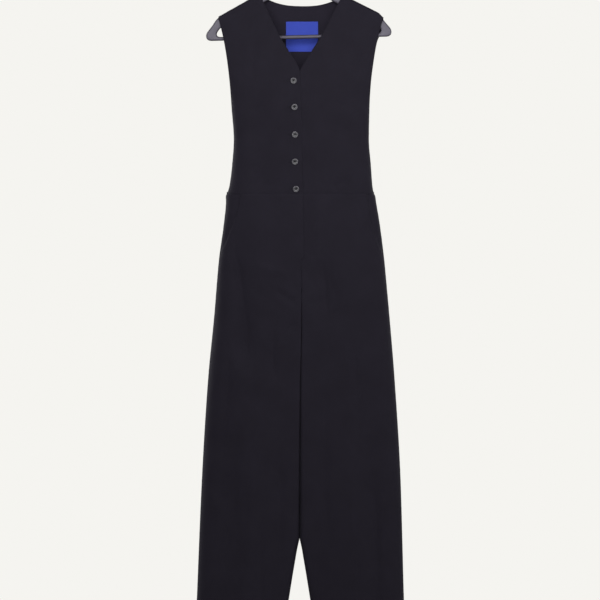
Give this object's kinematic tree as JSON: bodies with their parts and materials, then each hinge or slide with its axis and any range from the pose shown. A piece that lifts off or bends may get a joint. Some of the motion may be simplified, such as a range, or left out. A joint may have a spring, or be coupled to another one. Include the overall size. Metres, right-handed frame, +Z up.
{
  "type": "sleeveless jumpsuit on a hanger",
  "caption": "Dark sleeveless V-neck jumpsuit with a buttoned front, fly, slant pockets and wide straight legs, hanging on a grey plastic hanger.",
  "frame": {"origin": "top of the inside of the hanger's hook, where a rail carries it", "axes": "+Z up, the garment's front faces -Y, +X to the viewer's right when looking at the front"},
  "size_m": [0.5023, 0.1152, 1.645],
  "materials": {
    "cloth": "matte woven crepe",
    "label": "satin woven",
    "button": "smoky polished",
    "hanger": "satin moulded"
  },
  "bodies": {
    "root": {"bodice_front_over": "cloth", "bodice_front_under": "cloth", "bodice_back": "cloth", "trouser_front_over": "cloth", "trouser_front_under": "cloth", "trouser_back_left": "cloth", "trouser_back_right": "cloth", "pocket_side_left": "cloth", "pocket_side_right": "cloth", "neck_label": "label", "button_1": "button", "button_2": "button", "button_3": "button", "button_4": "button", "button_5": "button", "hanger_frame": "hanger", "hanger_hook": "hanger"}
  },
  "joints": []
}
